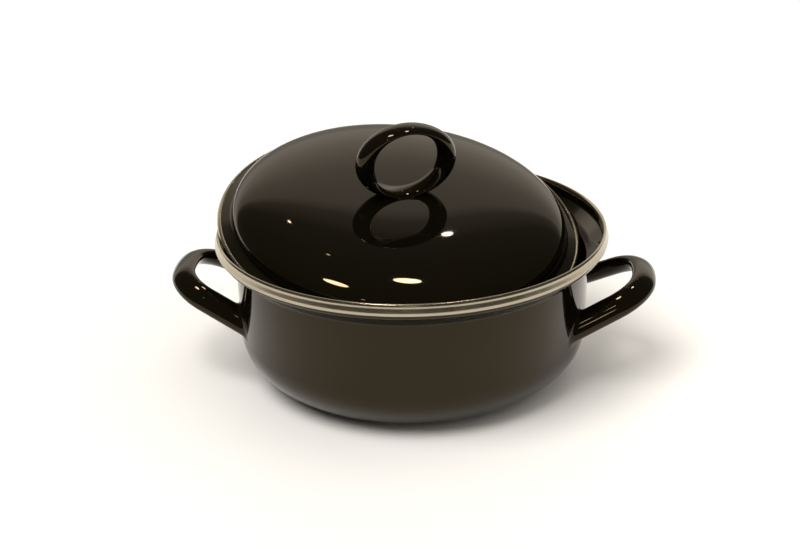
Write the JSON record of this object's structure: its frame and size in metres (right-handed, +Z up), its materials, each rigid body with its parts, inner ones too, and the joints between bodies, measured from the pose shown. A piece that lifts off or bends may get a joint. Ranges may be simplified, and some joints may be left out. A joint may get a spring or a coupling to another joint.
{
  "type": "enamel dutch oven",
  "caption": "Round black enamelled steel dutch oven with stainless edge bands, loop handles and a domed lid with a standing ring, lying askew.",
  "frame": {"origin": "middle of the flat base, on the pot's axis, at the surface that it stands on", "axes": "+Z up along the pot's axis, +X through the middle of the right handle, +Y to the back"},
  "size_m": [0.332, 0.2709, 0.1755],
  "materials": {
    "black_enamel": "glossy fired enamel",
    "stainless_band": "polished"
  },
  "bodies": {
    "root": {"pot_body": "black_enamel", "pot_rim_band": "stainless_band", "side_handle_right": "black_enamel", "side_handle_left": "black_enamel", "lid_shell": "black_enamel", "lid_rim_band": "stainless_band", "lid_ring": "black_enamel"}
  },
  "joints": []
}
